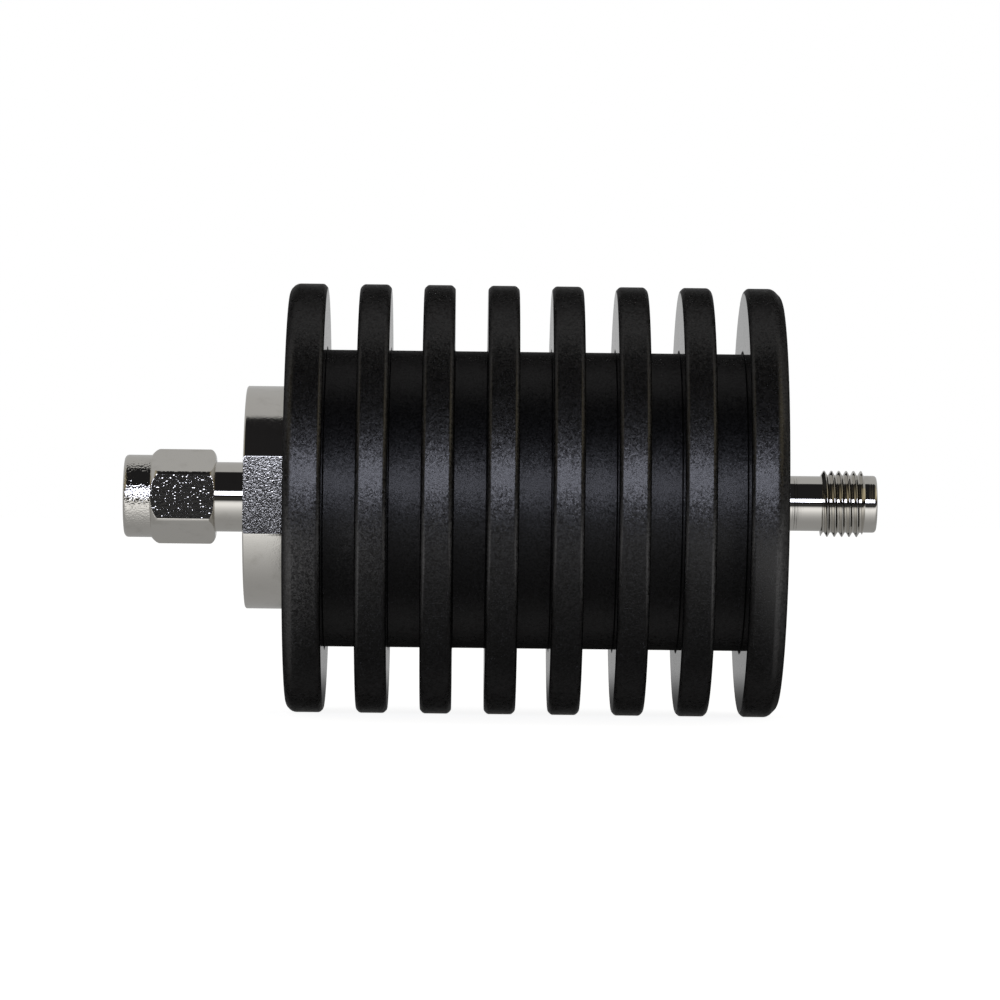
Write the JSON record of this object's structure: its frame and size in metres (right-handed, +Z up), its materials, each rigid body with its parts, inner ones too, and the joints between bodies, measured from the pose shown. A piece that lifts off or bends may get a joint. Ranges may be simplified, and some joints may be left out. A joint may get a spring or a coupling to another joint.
{
  "type": "rf attenuator",
  "caption": "Fixed coaxial attenuator: a ribbed black heat sink with a plug and coupling nut on one end and a threaded socket on the other.",
  "frame": {"origin": "centre of the plug's reference plane, on the axis, where the plug's contact sleeve ends", "axes": "+X runs along the axis from the plug to the socket, +Z up; the plug points along -X"},
  "size_m": [0.0719, 0.041, 0.041],
  "materials": {
    "black_anodised_aluminium": "black anodised, finely grained",
    "nickel_plated_brass": "bright nickel plate",
    "spring_bronze": "bare",
    "gold_plated_contact": "gold plate",
    "stainless_steel": "bare",
    "bare_aluminium": "milled",
    "white_insulator": "matte",
    "red_rubber": "matte",
    "ceramic": "matte"
  },
  "bodies": {
    "attenuator_body": {"heat_sink": "black_anodised_aluminium", "male_connector_body": "nickel_plated_brass", "nut_gasket": "red_rubber", "male_dielectric": "white_insulator", "male_center_pin": "gold_plated_contact", "female_connector_body": "nickel_plated_brass", "female_dielectric": "white_insulator", "female_center_contact": "gold_plated_contact", "element_carrier": "bare_aluminium", "carrier_cap": "bare_aluminium", "carrier_screw_1": "stainless_steel", "carrier_screw_2": "stainless_steel", "carrier_screw_3": "stainless_steel", "carrier_screw_4": "stainless_steel", "wave_spring_washer": "stainless_steel", "attenuator_substrate": "ceramic", "input_tab": "gold_plated_contact", "output_tab": "gold_plated_contact"},
    "coupling_nut_body": {"coupling_nut": "nickel_plated_brass", "nut_snap_ring": "spring_bronze"}
  },
  "joints": [
    {"name": "coupling_nut_spin", "type": "hinge", "parent": "attenuator_body", "child": "coupling_nut_body", "pos_m": [0, 0, 0], "axis": [1, 0, 0], "continuous": true}
  ]
}
